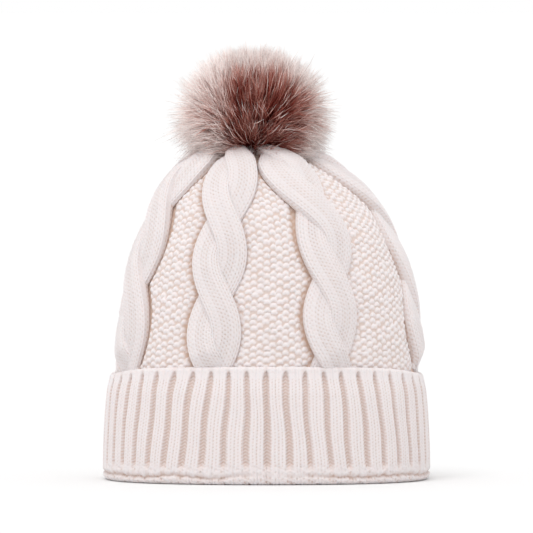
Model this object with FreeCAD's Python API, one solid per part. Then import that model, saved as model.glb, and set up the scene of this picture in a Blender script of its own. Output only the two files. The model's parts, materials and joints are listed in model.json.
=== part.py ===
"""Pom pom beanie: a cable-knit hat with a turned-up ribbed cuff and a snap-on faux-fur pom.

Millimetres, +Z up through the crown, -Y is the hat's front. The origin is the middle of the head opening,
in the plane that the folded rim stands on. The hat has the shape that it takes on a head.
"""

import FreeCAD
import Part

import math
import os

Vec = FreeCAD.Vector

# Driving dimensions -------------------------------------------------------------------------------
GROUND_HALF_WIDTH = 101.0      # outside of the knitted ground fabric at the base, left to right
GROUND_HALF_DEPTH = 80.0       # the same, front to back
FABRIC_THICKNESS = 4.0
SHOULDER_Z = 72.0              # the dome starts here, hidden behind the cuff
CROWN_Z = 224.5                # top of the ground fabric
SQUARENESS = 2.3               # exponent of the head-shaped outline; 2 is a plain ellipse
CROWN_LEAN = 8.0               # the crown sits off to the left by this much more than the sides
SIDE_LEAN = 1.5
CROWN_HOLE_R = 8.0             # ring of drawn-in stitches round the snap

CUFF_HEIGHT = 76.0
CUFF_HALF_WIDTH = 112.0        # outside of the cuff at the fold
CUFF_HALF_DEPTH = 90.0
CUFF_TOP_HALF_WIDTH = 107.0    # outside of the cuff at its free edge
CUFF_TOP_HALF_DEPTH = 86.6
CUFF_BULGE = 1.0               # the cuff rounds out this much between its two edges
CUFF_THICKNESS = 4.4
FOLD_HEIGHT = 6.0              # the fold joins the turned-up layer to the inner band

CABLE_ANGLES = [-65.0, -17.8, 22.7, 85.0, 137.0, 190.0, 243.0]    # from the front, towards +X
CABLE_DRIFTS = [0.0, 0.0, 4.5, 3.0, 0.0, -2.0, 0.0]               # degrees aside at mid-height
CABLE_PHASES = [2.0, 0.0, 10.5, 4.0, 20.0, 8.0, 30.0]             # first crossing above the cuff
CABLE_PITCHES = [57.0, 52.0, 52.0, 55.0, 52.0, 52.0, 54.0]        # from one crossing to the next
STRAND_HALF_WIDTH = 9.0
STRAND_HALF_THICKNESS = 2.2
STRAND_SWING = 9.5             # sideways travel of a strand from the cable's middle
STRAND_LIFT = 2.3              # a strand rides this far above or below the middle at a crossing
STRAND_MIDDLE = 3.2            # height of the cable's middle above the ground fabric
STRAND_END_R = 11.0            # strands stop at this distance from the snap
STRAND_SECTIONS = 32

PATCH_R = 12.0
PATCH_THICKNESS = 1.5
PATCH_DROP = 7.5               # gap for rocking below the crown, plus the fabric
SNAP_FLANGE_R = 6.2
SNAP_SHEET = 1.0
SNAP_RAISE = 1.5               # the flange's underside above the ground fabric
SNAP_POST_R = 1.6
SNAP_NECK = 1.6                # from the flange to the middle of the rounded head
SNAP_HEAD_R = 2.2
SOCKET_R = 6.5
SOCKET_HEIGHT = 4.6
SOCKET_SHEET = 0.8
SPRING_R = 2.9
SPRING_WIRE_R = 0.35

POM_CENTRE_Z = 252.0
POM_HALF_WIDTH = 50.0          # dense pile; the loose tips stand a few millimetres further out
POM_HALF_HEIGHT = 40.5
POM_BAG_R = 20.5
POM_BAG_WALL = 1.2
POM_RIVET_R = 4.5
POM_DISC_R = 15.0
POM_DISC_THICKNESS = 1.5
POM_UNDERSIDE_Z = 232.5
POM_NECK_R = 15.6

AIR = 0.3                      # gap between neighbours that only touch on the real hat


# The hat's outside form ---------------------------------------------------------------------------
def power(value, exponent):
    """Signed power, the building block of a superellipse."""
    return math.copysign(abs(value) ** exponent, value)


def ring_point(theta, half_width, half_depth, squareness, x0, z):
    """Point of a level superellipse; theta is 0 at the front and grows towards +X."""
    x = x0 + half_width * power(math.sin(theta), 2.0 / squareness)
    y = -half_depth * power(math.cos(theta), 2.0 / squareness)
    return Vec(x, y, z)


def ring_wire(half_width, half_depth, squareness, x0, z, count=48):
    """Closed smooth wire through a level superellipse."""
    points = [ring_point(2 * math.pi * k / count, half_width, half_depth, squareness, x0, z)
              for k in range(count)]
    curve = Part.BSplineCurve()
    curve.interpolate(Points=points, PeriodicFlag=True)
    return Part.Wire([curve.toShape()])


def dome_level(rise, inset=0.0):
    """Half-width, half-depth, squareness, middle and height of the dome at a rise from 0 to 1."""
    narrowing = (1.0 - rise * rise) ** 0.4
    width = (GROUND_HALF_WIDTH - inset) * narrowing
    roundness = ((GROUND_HALF_DEPTH - inset) / (GROUND_HALF_WIDTH - inset)) ** (1.0 - rise ** 4)
    middle = -SIDE_LEAN * rise - CROWN_LEAN * rise ** 4
    height = SHOULDER_Z + rise * (CROWN_Z - inset - SHOULDER_Z)
    squareness = SQUARENESS - (SQUARENESS - 2.0) * rise * rise
    return width, width * roundness, squareness, middle, height


def dome_point(theta, rise, lift=0.0):
    """Point at a lift outside the ground fabric."""
    step = 1e-4
    here = ring_point(theta, *dome_level(rise))
    if lift == 0.0:
        return here
    across = ring_point(theta + step, *dome_level(rise)).sub(here)
    up = here.sub(ring_point(theta, *dome_level(rise - step)))
    normal = across.cross(up)
    normal.normalize()
    return here.add(normal.multiply(lift))


CROWN_X = -(SIDE_LEAN + CROWN_LEAN)
DOME_STEPS = [math.sin(math.radians(a)) for a in (0, 11, 22, 33, 44, 54, 63, 71, 78, 83.5, 87.3, 89.0)]


def dome_solid(inset):
    """Solid dome, the outside or the inside of the fabric."""
    return Part.makeLoft([ring_wire(*dome_level(rise, inset)) for rise in DOME_STEPS], True, False)


def disc(radius, thickness, z, x=CROWN_X):
    return Part.makeCylinder(radius, thickness, Vec(x, 0, z))


def sector(start, end, reach=220.0, base=-10.0, height=400.0):
    """Upright wedge between two directions from the crown's middle."""
    corners = [Vec(CROWN_X, 0, base)]
    for k in range(4):
        angle = start + (end - start) * k / 3.0
        corners.append(Vec(CROWN_X + reach * math.sin(angle), -reach * math.cos(angle), base))
    face = Part.Face(Part.makePolygon(corners + corners[:1]))
    return face.extrude(Vec(0, 0, height))


# Knitted pieces -----------------------------------------------------------------------------------
def seed_panels():
    """Moss-stitch wedges of the ground fabric, which meet edge to edge under the cables."""
    shell = dome_solid(0.0).cut(dome_solid(FABRIC_THICKNESS)).cut(disc(CROWN_HOLE_R, 60, CROWN_Z - 40))
    edges = []
    for degrees in CABLE_ANGLES:
        foot = dome_point(math.radians(degrees), 0.0)
        edges.append(math.atan2(foot.x - CROWN_X, -foot.y))
    panels = []
    for k, start in enumerate(edges):
        end = edges[(k + 1) % len(edges)]
        if end < start:
            end += 2 * math.pi
        panels.append(shell.common(sector(start, end)))
    return panels


def cuff_turn_up():
    """Outer ribbed layer, folded up from the rim; the fold reaches in under the inner band."""
    def loft(inset, base, top):
        wires = []
        for z in (base, 0.5 * (base + top), top):
            share = z / CUFF_HEIGHT
            bulge = CUFF_BULGE * math.sin(math.pi * share) - inset
            half_width = CUFF_HALF_WIDTH + (CUFF_TOP_HALF_WIDTH - CUFF_HALF_WIDTH) * share + bulge
            half_depth = CUFF_HALF_DEPTH + (CUFF_TOP_HALF_DEPTH - CUFF_HALF_DEPTH) * share + bulge
            wires.append(ring_wire(half_width, half_depth, SQUARENESS, 0.0, z))
        return Part.makeLoft(wires, True, False)

    outside = loft(0.0, 0.0, CUFF_HEIGHT)
    hollow = loft(CUFF_THICKNESS, FOLD_HEIGHT, CUFF_HEIGHT)
    way_in = Part.makeLoft([band_wire(FABRIC_THICKNESS, z) for z in (-1.0, FOLD_HEIGHT + 1.0)], True, True)
    return outside.cut(hollow).cut(way_in)


def band_wire(inset, z):
    return ring_wire(GROUND_HALF_WIDTH - inset, GROUND_HALF_DEPTH - inset, SQUARENESS, 0.0, z)


def cuff_inner_band():
    """Inner ribbed layer against the head, from the fold up to the dome."""
    outside = Part.makeLoft([band_wire(0.0, z) for z in (FOLD_HEIGHT, SHOULDER_Z)], True, True)
    inside = Part.makeLoft([band_wire(FABRIC_THICKNESS, z) for z in (FOLD_HEIGHT - 1, SHOULDER_Z + 1)], True, True)
    return outside.cut(inside)


def meridian(theta, first=0.0, steps=240):
    """Rises from the shoulder to the crown with the distance walked from the cuff's free edge."""
    table, walked, last = [], 0.0, dome_point(theta, first)
    for k in range(steps + 1):
        rise = math.sin(0.5 * math.pi * k / steps) * 0.99999
        here = dome_point(theta, rise)
        walked += here.sub(last).Length
        last = here
        table.append((rise, walked))
    at_cuff = next(w for r, w in table if dome_level(r)[4] >= CUFF_HEIGHT)
    return [(r, w - at_cuff) for r, w in table]


def rise_at(table, distance):
    for (r0, w0), (r1, w1) in zip(table, table[1:]):
        if w0 <= distance <= w1:
            return r0 + (r1 - r0) * (distance - w0) / (w1 - w0)
    return table[-1][0] if distance > table[-1][1] else table[0][0]


def crown_share(rise):
    """Width left for a cable near the crown, as a share of its full width."""
    width, depth = dome_level(rise)[:2]
    return min(1.0, 0.855 * 0.5 * (width + depth) / (2 * (STRAND_SWING + STRAND_HALF_WIDTH)))


def cable_strand(number, side):
    """One of a cable's two strands: it swings across the cable and passes over and under the other."""
    middle = math.radians(CABLE_ANGLES[number])
    drift = math.radians(CABLE_DRIFTS[number])
    table = meridian(middle)
    foot_z = CUFF_HEIGHT + AIR
    stop = next(w for r, w in table if dome_level(r)[0] <= STRAND_END_R)

    def centre(distance):
        rise = rise_at(table, distance)
        share = crown_share(rise)
        turn = math.pi * (distance - CABLE_PHASES[number]) / CABLE_PITCHES[number]
        swing = -side * STRAND_SWING * share * math.sin(turn)
        lift = STRAND_MIDDLE * (0.4 + 0.6 * share) + side * STRAND_LIFT * (0.5 + 0.5 * share) * math.cos(turn)
        aside = middle + drift * math.sin(math.pi * max(0.0, rise) ** 1.6) ** 2
        per_radian = dome_point(aside + 1e-3, rise).sub(dome_point(aside, rise)).Length / 1e-3
        theta = aside + swing / max(per_radian, 1.0)
        return dome_point(theta, rise, lift), theta, rise, share

    wires = []
    for k in range(STRAND_SECTIONS + 1):
        distance = stop * k / STRAND_SECTIONS
        point, theta, rise, share = centre(distance)
        along = centre(distance + 1.0)[0].sub(centre(distance - 1.0)[0])
        along.normalize()
        outward = dome_point(theta, rise, 1.0).sub(dome_point(theta, rise))
        sideways = outward.cross(along)
        sideways.normalize()
        outward = along.cross(sideways)
        half_width = STRAND_HALF_WIDTH * share
        half_thickness = STRAND_HALF_THICKNESS * (0.5 + 0.5 * share)
        ring = []
        for q in range(12):
            angle = 2 * math.pi * q / 12
            reach = Vec(sideways).multiply(half_width * math.cos(angle))
            height = Vec(outward).multiply(half_thickness * math.sin(angle))
            corner = point.add(reach).add(height)
            corner.z = max(corner.z, foot_z + 0.1 * k) if k else foot_z
            ring.append(corner)
        wires.append(Part.makePolygon(ring + ring[:1]))
    return Part.makeLoft(wires, True, True)


def crown_gather_yarn():
    """Yarn ring that draws the last stitches together round the snap."""
    return Part.makeTorus(CROWN_HOLE_R - 1.5, 1.2, Vec(CROWN_X, 0, CROWN_Z - 2.0))


def back_seam_yarn():
    """Sewn seam, a ridge up the inside of the back."""
    theta = math.radians(163.0)
    radius = 1.2
    path = [ring_point(theta, GROUND_HALF_WIDTH, GROUND_HALF_DEPTH, SQUARENESS, 0.0, z)
            for z in (9.0, 30.0, 50.0)]
    path += [dome_point(theta, rise) for rise in (0.0, 0.15, 0.3, 0.45, 0.6, 0.72, 0.82)]
    inward = Vec(0, -(FABRIC_THICKNESS + radius + AIR), 0)
    wires = []
    for k, point in enumerate(path):
        nearer, further = path[max(0, k - 1)], path[min(len(path) - 1, k + 1)]
        along = further.sub(nearer)
        along.normalize()
        normal = along.cross(Vec(1, 0, 0))
        normal.normalize()
        middle = point.add(Vec(normal).multiply(inward.Length if normal.y < 0 else -inward.Length))
        wires.append(Part.Wire([Part.Circle(middle, along, radius).toShape()]))
    return Part.makeLoft(wires, True, False)


# Snap ---------------------------------------------------------------------------------------------
def snap_patch():
    """Felt disc inside the crown that spreads the snap's pull over the knitting."""
    z = CROWN_Z - PATCH_DROP - PATCH_THICKNESS
    return disc(PATCH_R, PATCH_THICKNESS, z).cut(disc(SNAP_POST_R, 10, z - 4))


def snap_stud():
    """Male half: flange on the crown, post through it and a rounded head."""
    flange_z = CROWN_Z + SNAP_RAISE
    foot_z = CROWN_Z - PATCH_DROP - PATCH_THICKNESS - SNAP_SHEET
    head_z = flange_z + SNAP_SHEET + SNAP_NECK
    post = disc(SNAP_POST_R - 0.02, head_z - foot_z, foot_z)
    head = Part.makeSphere(SNAP_HEAD_R, Vec(CROWN_X, 0, head_z))
    return post.fuse(disc(SNAP_FLANGE_R, SNAP_SHEET, flange_z)).fuse(head).removeSplitter()


def snap_stud_cap():
    """Rivet cap that holds the stud from inside the hat."""
    z = CROWN_Z - PATCH_DROP - PATCH_THICKNESS - SNAP_SHEET
    return disc(SNAP_FLANGE_R, SNAP_SHEET, z).cut(disc(SNAP_POST_R, 4, z - 1))


def socket_floor_z():
    return CROWN_Z + SNAP_RAISE + SNAP_SHEET + 0.2


def snap_socket():
    """Female half on the pom, hollow for the spring and the stud's head."""
    z = socket_floor_z()
    shell = disc(SOCKET_R, SOCKET_HEIGHT, z)
    shell = shell.makeFillet(0.6, [e for e in shell.Edges if e.BoundBox.ZLength < 0.01])
    cavity = disc(SPRING_R + SPRING_WIRE_R + 0.6, SOCKET_HEIGHT - 2 * SOCKET_SHEET, z + SOCKET_SHEET)
    mouth = disc(SNAP_HEAD_R + AIR, 2 * SOCKET_SHEET, z - 0.5 * SOCKET_SHEET)
    return shell.cut(cavity).cut(mouth)


def socket_spring_wire():
    """Wire ring that grips the stud's head inside the socket."""
    return Part.makeTorus(SPRING_R, SPRING_WIRE_R, Vec(CROWN_X, 0, socket_floor_z() + 1.6))


# Pom ----------------------------------------------------------------------------------------------
def pom_base_z():
    return socket_floor_z() + SOCKET_HEIGHT


def pom_base_disc():
    """Stiff disc at the pom's base that the socket is riveted to."""
    return disc(POM_DISC_R, POM_DISC_THICKNESS, pom_base_z())


def pom_socket_rivet():
    return disc(POM_RIVET_R, SNAP_SHEET, pom_base_z() + POM_DISC_THICKNESS)


def ball(radius):
    return Part.makeSphere(radius, Vec(CROWN_X, 0, POM_CENTRE_Z))


def above(shape, z):
    return shape.cut(Part.makeBox(200, 200, 200, Vec(-100 + CROWN_X, -100, z - 200)))


def pom_fur_backing():
    """Knitted backing of the fur, sewn into a bag."""
    return above(ball(POM_BAG_R).cut(ball(POM_BAG_R - POM_BAG_WALL)), pom_base_z() + POM_DISC_THICKNESS + 0.2)


def pom_filling():
    """Fibre filling of the bag."""
    inner = ball(POM_BAG_R - POM_BAG_WALL - AIR)
    return above(inner, pom_base_z() + POM_DISC_THICKNESS + SNAP_SHEET + AIR)


def pom_gather_thread():
    """Drawn thread that closes the bag's mouth over the disc."""
    z = pom_base_z() + POM_DISC_THICKNESS + 0.7
    mouth = math.sqrt(POM_BAG_R ** 2 - (POM_CENTRE_Z - z - 0.5) ** 2)
    return Part.makeTorus(mouth + 0.8, 0.5, Vec(CROWN_X, 0, z))


def pom_fur_pile():
    """Envelope of the dense pile round the bag, open round the disc underneath."""
    outside = Part.makeSphere(1.0)
    grow = FreeCAD.Matrix()
    grow.scale(POM_HALF_WIDTH, POM_HALF_WIDTH, POM_HALF_HEIGHT)
    outside = outside.transformGeometry(grow)
    outside.translate(Vec(CROWN_X, 0, POM_CENTRE_Z))
    pile = above(outside, POM_UNDERSIDE_Z)
    return pile.cut(ball(POM_BAG_R + AIR)).cut(disc(POM_NECK_R, 9.0, POM_UNDERSIDE_Z - 1.0))


# Build --------------------------------------------------------------------------------------------
def build():
    nodes = {"cuff_turn_up": cuff_turn_up(), "cuff_inner_band": cuff_inner_band()}
    for k, panel in enumerate(seed_panels()):
        nodes[f"seed_panel_{k + 1}"] = panel
    for k in range(len(CABLE_ANGLES)):
        nodes[f"cable_{k + 1}_strand_a"] = cable_strand(k, 1)
        nodes[f"cable_{k + 1}_strand_b"] = cable_strand(k, -1)
    for piece in (crown_gather_yarn, back_seam_yarn, snap_patch, snap_stud, snap_stud_cap, snap_socket,
                  socket_spring_wire, pom_base_disc, pom_socket_rivet, pom_fur_backing, pom_filling,
                  pom_gather_thread, pom_fur_pile):
        nodes[piece.__name__] = piece()
    return nodes


os.makedirs("parts", exist_ok=True)
for name, shape in build().items():
    solids = shape.Solids
    print(f"{name}: {len(solids)} solid, {shape.Volume / 1000:.2f} cm3, valid {shape.isValid()}")
    (solids[0] if len(solids) == 1 else Part.makeCompound(solids)).exportStep(f"parts/{name}.step")
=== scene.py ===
"""Pom pom beanie: looks of a cable-knit hat with a ribbed turn-up and a detachable faux-fur pom.

Shapes are worked out in millimetres on numpy grids and become metres when a mesh is made.
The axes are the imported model's: +Z up through the crown, -Y the hat's front, and +X the right side
of that view.
"""

import json
import math

import bpy
import numpy as np
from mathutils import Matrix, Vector


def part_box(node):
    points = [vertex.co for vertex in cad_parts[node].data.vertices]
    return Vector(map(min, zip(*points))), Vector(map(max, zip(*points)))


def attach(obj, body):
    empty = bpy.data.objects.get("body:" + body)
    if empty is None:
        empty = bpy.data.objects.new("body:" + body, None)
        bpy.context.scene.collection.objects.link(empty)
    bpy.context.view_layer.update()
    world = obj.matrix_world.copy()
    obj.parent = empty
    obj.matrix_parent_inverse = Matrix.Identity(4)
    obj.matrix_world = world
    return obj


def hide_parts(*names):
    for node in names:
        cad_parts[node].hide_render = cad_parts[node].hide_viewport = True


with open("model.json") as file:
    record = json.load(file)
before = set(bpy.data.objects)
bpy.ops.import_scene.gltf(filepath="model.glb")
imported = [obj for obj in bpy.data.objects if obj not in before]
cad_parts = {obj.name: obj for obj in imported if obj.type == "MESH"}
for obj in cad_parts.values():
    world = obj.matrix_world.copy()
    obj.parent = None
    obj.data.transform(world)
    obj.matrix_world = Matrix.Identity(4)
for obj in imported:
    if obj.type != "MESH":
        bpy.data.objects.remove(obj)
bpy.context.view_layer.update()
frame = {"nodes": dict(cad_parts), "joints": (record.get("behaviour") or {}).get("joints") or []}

# Studio ------------------------------------------------------------------------------------------
# A pale floor under a white sky, with one soft key light high in front and a little to the left. The
# camera looks at the front of the hat through a long lens, slightly downwards.
VIEW_SPAN = 0.3625
VIEW_MIDDLE = 0.1445
CAMERA_DISTANCE = 9.0
CAMERA_RISE = math.radians(2.0)
CAMERA_SENSOR = 36.0
CAMERA_SIGHT = 50.0  # nothing past this distance is seen
SKY = (1.0, 1.0, 1.0)
SKY_STRENGTH = 1.0
KEY_STRENGTH = 1.0
KEY_HEADING = (0.14, 0.36, -0.84)
KEY_SPREAD = math.radians(30.0)
FLOOR_SHADE = 0.80
FLOOR_SIDE = 40.0

camera = bpy.data.objects.new("camera", bpy.data.cameras.new("camera"))
bpy.context.scene.collection.objects.link(camera)
bpy.context.scene.camera = camera
camera.location = (0.0, -CAMERA_DISTANCE * math.cos(CAMERA_RISE),
                   VIEW_MIDDLE + CAMERA_DISTANCE * math.sin(CAMERA_RISE))
camera.rotation_euler = (math.pi / 2 - CAMERA_RISE, 0.0, 0.0)
camera.data.sensor_width = CAMERA_SENSOR
camera.data.lens = CAMERA_SENSOR * CAMERA_DISTANCE / VIEW_SPAN
camera.data.clip_end = CAMERA_SIGHT

world = bpy.data.worlds.new("sky")
world.use_nodes = True
world.node_tree.nodes["Background"].inputs["Color"].default_value = (*SKY, 1.0)
world.node_tree.nodes["Background"].inputs["Strength"].default_value = SKY_STRENGTH
bpy.context.scene.world = world
bpy.context.scene.view_settings.view_transform = "Standard"

key = bpy.data.objects.new("key_light", bpy.data.lights.new("key_light", "SUN"))
key.data.energy = KEY_STRENGTH
key.data.angle = KEY_SPREAD
key.rotation_euler = Vector(KEY_HEADING).to_track_quat("-Z", "Y").to_euler()
bpy.context.scene.collection.objects.link(key)


class Number:
    """A value that varies over a surface. Python arithmetic on it adds Math nodes."""

    def __init__(self, finish, socket):
        self.finish, self.socket = finish, socket

    def math(self, operation, *values):
        inputs = dict(enumerate(values))
        return self.finish.node("ShaderNodeMath", {"operation": operation}, inputs)

    def __add__(self, other):
        return self.math("ADD", self, other)

    def __mul__(self, other):
        return self.math("MULTIPLY", self, other)

    def __pow__(self, other):
        return self.math("POWER", self, other)

    __radd__, __rmul__ = __add__, __mul__


class Finish:
    """A material round one Principled shader. Constants go on the shader's own sockets."""

    def __init__(self, name, **constants):
        self.material = bpy.data.materials.new(name)
        self.material.use_nodes = True
        self.tree = self.material.node_tree
        self.shader = self.tree.nodes["Principled BSDF"]
        for socket, value in constants.items():
            self.put(self.shader.inputs[socket.replace("_", " ")], value)

    def put(self, socket, value):
        """Links a Number, or sets a plain value; a colour of three numbers gets its alpha."""
        if isinstance(value, Number):
            self.tree.links.new(value.socket, socket)
        elif isinstance(value, tuple) and len(value) == 3 and socket.type == "RGBA":
            socket.default_value = (*value, 1.0)
        else:
            socket.default_value = value

    def node(self, kind, settings, inputs, output=0):
        """One shader node: its settings first, then the values or links of its sockets."""
        made = self.tree.nodes.new(kind)
        for name, value in settings.items():
            setattr(made, name, value)
        for name, value in inputs.items():
            self.put(made.inputs[name], value)
        return Number(self, made.outputs[output])

    def place(self):
        """Where a point lies on its piece, in metres."""
        return self.node("ShaderNodeTexCoord", {}, {}, "Object")

    def noise(self, scale, detail=2.0, vector=None, rough=0.5):
        """Cloudy noise from 0 to 1; scale is in clouds for each metre."""
        inputs = {"Vector": vector or self.place(), "Scale": scale, "Detail": detail, "Roughness": rough}
        return self.node("ShaderNodeTexNoise", {}, inputs)

    def attribute(self, name):
        """A value that the mesh carries at its points."""
        return self.node("ShaderNodeAttribute", {"attribute_name": name}, {}, "Fac")

    def mix(self, share, first, second):
        """Colour that goes from first to second as share goes from 0 to 1."""
        return self.node("ShaderNodeMix", {"data_type": "RGBA"}, {0: share, 6: first, 7: second}, 2)

    def tint(self, colour, gain):
        """Colour times a varying number."""
        return self.node("ShaderNodeVectorMath", {"operation": "SCALE"}, {0: colour, "Scale": gain})

    def bump(self, height, distance, strength=1.0):
        """Fine relief: height from 0 to 1, times a distance in metres."""
        inputs = {"Height": height, "Distance": distance, "Strength": strength}
        self.put(self.shader.inputs["Normal"], self.node("ShaderNodeBump", {}, inputs))

    def colour(self, colour):
        self.put(self.shader.inputs["Base Color"], colour)


floor_finish = Finish("floor_paint", Roughness=0.9)
floor_finish.colour((FLOOR_SHADE, FLOOR_SHADE, FLOOR_SHADE))
bpy.ops.mesh.primitive_plane_add(size=FLOOR_SIDE)
floor = bpy.context.object
floor.name = "floor"
floor.data.materials.append(floor_finish.material)

# Moss-stitch panels ------------------------------------------------------------------------------
# Seven wedges of the hat's ground fabric, knitted in one with the cables in chunky ivory yarn. Their
# beads stand in staggered columns, the fabric sinks beside each cable, and the wedges close at the crown.
MM = 0.001
METRE = 1000.0
SQUARENESS = 2.3
DOME_POWER = 0.4
DOME_TOP = 0.99999
SIDE_LEAN = 1.5
CUFF_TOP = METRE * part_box("cuff_turn_up")[1].z
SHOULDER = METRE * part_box("cuff_inner_band")[1].z
HALF_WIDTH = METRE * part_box("cuff_inner_band")[1].x
HALF_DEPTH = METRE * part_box("cuff_inner_band")[1].y
CROWN_X, _, CROWN_Z = (METRE * v for v in frame["joints"][0]["pos_m"])
CROWN_LEAN = -CROWN_X - SIDE_LEAN
MERIDIAN_POINTS = 500

CABLE_ANGLES = np.radians([-65.0, -17.8, 22.7, 85.0, 137.0, 190.0, 243.0])
CABLE_DRIFTS = np.radians([0.0, 0.0, 4.5, 6.0, 0.0, -2.0, 0.0])
CABLE_PHASES = [2.0, 0.0, 10.5, 4.0, 20.0, 8.0, 30.0]
CABLE_PITCHES = [57.0, 52.0, 52.0, 55.0, 52.0, 52.0, 54.0]
DRIFT_SKEW = 1.6  # above 1, a cable drifts furthest above mid-height
CABLE_ROOM = 0.855  # a cable's share of an oval, in mean radii
STRAND_HALF = 10.0
STRAND_SWING = 8.6

BEAD_COLUMN = 4.3
BEAD_ROW = 4.5
BEAD_HEIGHT = 1.25
BEAD_STRAY = (1.3, 1.2)  # widest unevenness of a bead's place, aside and up
BEAD_HALF = (0.54, 0.40)  # half a bead, in columns and in rows
BEAD_ARCH = 0.20
BEAD_NOTCH = 0.75
PANEL_GRAIN = 0.76
PANEL_END_R = 8.6
COLUMN_SHARE = 0.92  # grid columns for each row's worth of width
HIDDEN_STRETCH = 0.2  # columns are this much wider under the cables, and finer in the open
PANEL_THICKNESS = 3.2
PANEL_SINK = 0.4
PANEL_PUFF = 0.9
PUFF_REACH = 16.0
GUTTER_DEPTH = 1.7
GUTTER_EDGE = 0.3
GUTTER_BANK = 1.2
GUTTER_FULL = 2.4  # a narrower gutter is shallower
GUTTER_WIDTHS = [(3.0, 4.0), (0.6, 4.2), (0.6, 3.2), (1.0, 3.0),
                 (0.8, 3.4), (0.8, 3.0), (0.8, 3.2)]
CLOSING_SPAN = (8.0, -5.0)  # gutters fill up between these distances from the cuff's free edge
CLOSING_RISE = 1.1
IVORY = (0.785, 0.728, 0.728)
# Painted shade colour for the gaps between stitches and the gutters beside the cables.
CREVICE_SHADE = (0.60, 0.43, 0.34)
FIBRES = 2600.0
CLOUDS = 45.0
FIBRE_HEIGHT = 0.00035


def smooth(low, high, x):
    """0 below low, 1 above high, and an S-curve between."""
    t = np.clip((x - low) / (high - low), 0.0, 1.0)
    return t * t * (3.0 - 2.0 * t)


def oval(theta, half_width, half_depth, squareness):
    """x = half width by sin theta, y = -half depth by cos theta, each to the power 2/squareness."""
    power = 2.0 / squareness
    side, front = np.sin(theta), np.cos(theta)
    x = half_width * np.sign(side) * np.abs(side) ** power
    y = -half_depth * np.sign(front) * np.abs(front) ** power
    return x, y


def dome_size(rise):
    """Half width of an oval, which shrinks by (1 - rise squared) to 0.4, and its depth over its width."""
    return HALF_WIDTH * (1.0 - rise * rise) ** DOME_POWER, (HALF_DEPTH / HALF_WIDTH) ** (1.0 - rise ** 4)


def dome(theta, rise):
    """Ground fabric: ovals that shrink and grow rounder as they rise, and lean with the crown."""
    theta, rise = np.broadcast_arrays(theta, rise)
    width, roundness = dome_size(rise)
    squareness = SQUARENESS - (SQUARENESS - 2.0) * rise * rise
    x, y = oval(theta, width, width * roundness, squareness)
    x = x - SIDE_LEAN * rise - CROWN_LEAN * rise ** 4
    return np.stack([x, y, SHOULDER + rise * (CROWN_Z - SHOULDER)], axis=-1)


def unit(vectors):
    """Each vector divided by its own length."""
    return vectors / np.maximum(np.linalg.norm(vectors, axis=-1, keepdims=True), 1e-9)


def dome_out(theta, rise):
    """Outward direction: the step along the oval crossed with the step up the dome."""
    step = 1e-4
    across = dome(theta + step, rise) - dome(theta - step, rise)
    up = dome(theta, np.minimum(rise + step, DOME_TOP)) - dome(theta, rise - step)
    return unit(np.cross(across, up))


def meridian(theta):
    """Rises, and the distances walked up the dome at them, counted from the cuff's free edge."""
    rises = np.sin(np.linspace(0.0, 0.5 * np.pi, MERIDIAN_POINTS)) * DOME_TOP
    steps = np.linalg.norm(np.diff(dome(theta, rises), axis=0), axis=1)
    walked = np.concatenate([[0.0], np.cumsum(steps)])
    free_edge = (CUFF_TOP - SHOULDER) / (CROWN_Z - SHOULDER)
    return rises, walked - np.interp(free_edge, rises, walked)


def cable_line(number, rise):
    """Angle of a cable's middle: its own, plus a drift by sine squared of pi times a power of rise."""
    turn = 2.0 * np.pi * (number // len(CABLE_ANGLES))
    number = number % len(CABLE_ANGLES)
    swell = np.sin(np.pi * np.clip(rise, 0.0, 1.0) ** DRIFT_SKEW) ** 2
    return CABLE_ANGLES[number] + turn + CABLE_DRIFTS[number] * swell


def crown_share(rise):
    """Share of a cable's full width that fits on the oval at this rise: its room over that width."""
    width, roundness = dome_size(rise)
    room = CABLE_ROOM * 0.5 * width * (1 + roundness)
    return np.minimum(1.0, room / (2 * (STRAND_SWING + STRAND_HALF)))


def cable_reach(number, distance, share):
    """Half the width that both strands cover: the swing plus half a strand, which slants over more."""
    number = number % len(CABLE_ANGLES)
    turn = np.pi * (distance - CABLE_PHASES[number]) / CABLE_PITCHES[number]
    slope = STRAND_SWING * np.pi / CABLE_PITCHES[number] * np.cos(turn)
    return share * (STRAND_SWING * np.abs(np.sin(turn)) + STRAND_HALF * np.sqrt(1.0 + slope ** 2))


def scatter(a, b):
    """The same odd number from 0 to 1 for the same pair of whole numbers."""
    wave = np.sin(a * 12.9898 + b * 78.233) * 43758.5453
    return wave - np.floor(wave)


def drift(a, b, size, seed):
    """Gentle unevenness from -1 to 1: five sine waves in seeded directions, size long."""
    random = np.random.default_rng(seed)
    total = 0.0
    for angle, phase, stretch in random.uniform(0.0, 1.0, (5, 3)):
        heading, wave = 2 * np.pi * angle, size * (0.6 + stretch)
        total = total + np.sin(2 * np.pi * ((a * np.cos(heading) + b * np.sin(heading)) / wave + phase))
    return total / 5.0


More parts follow.
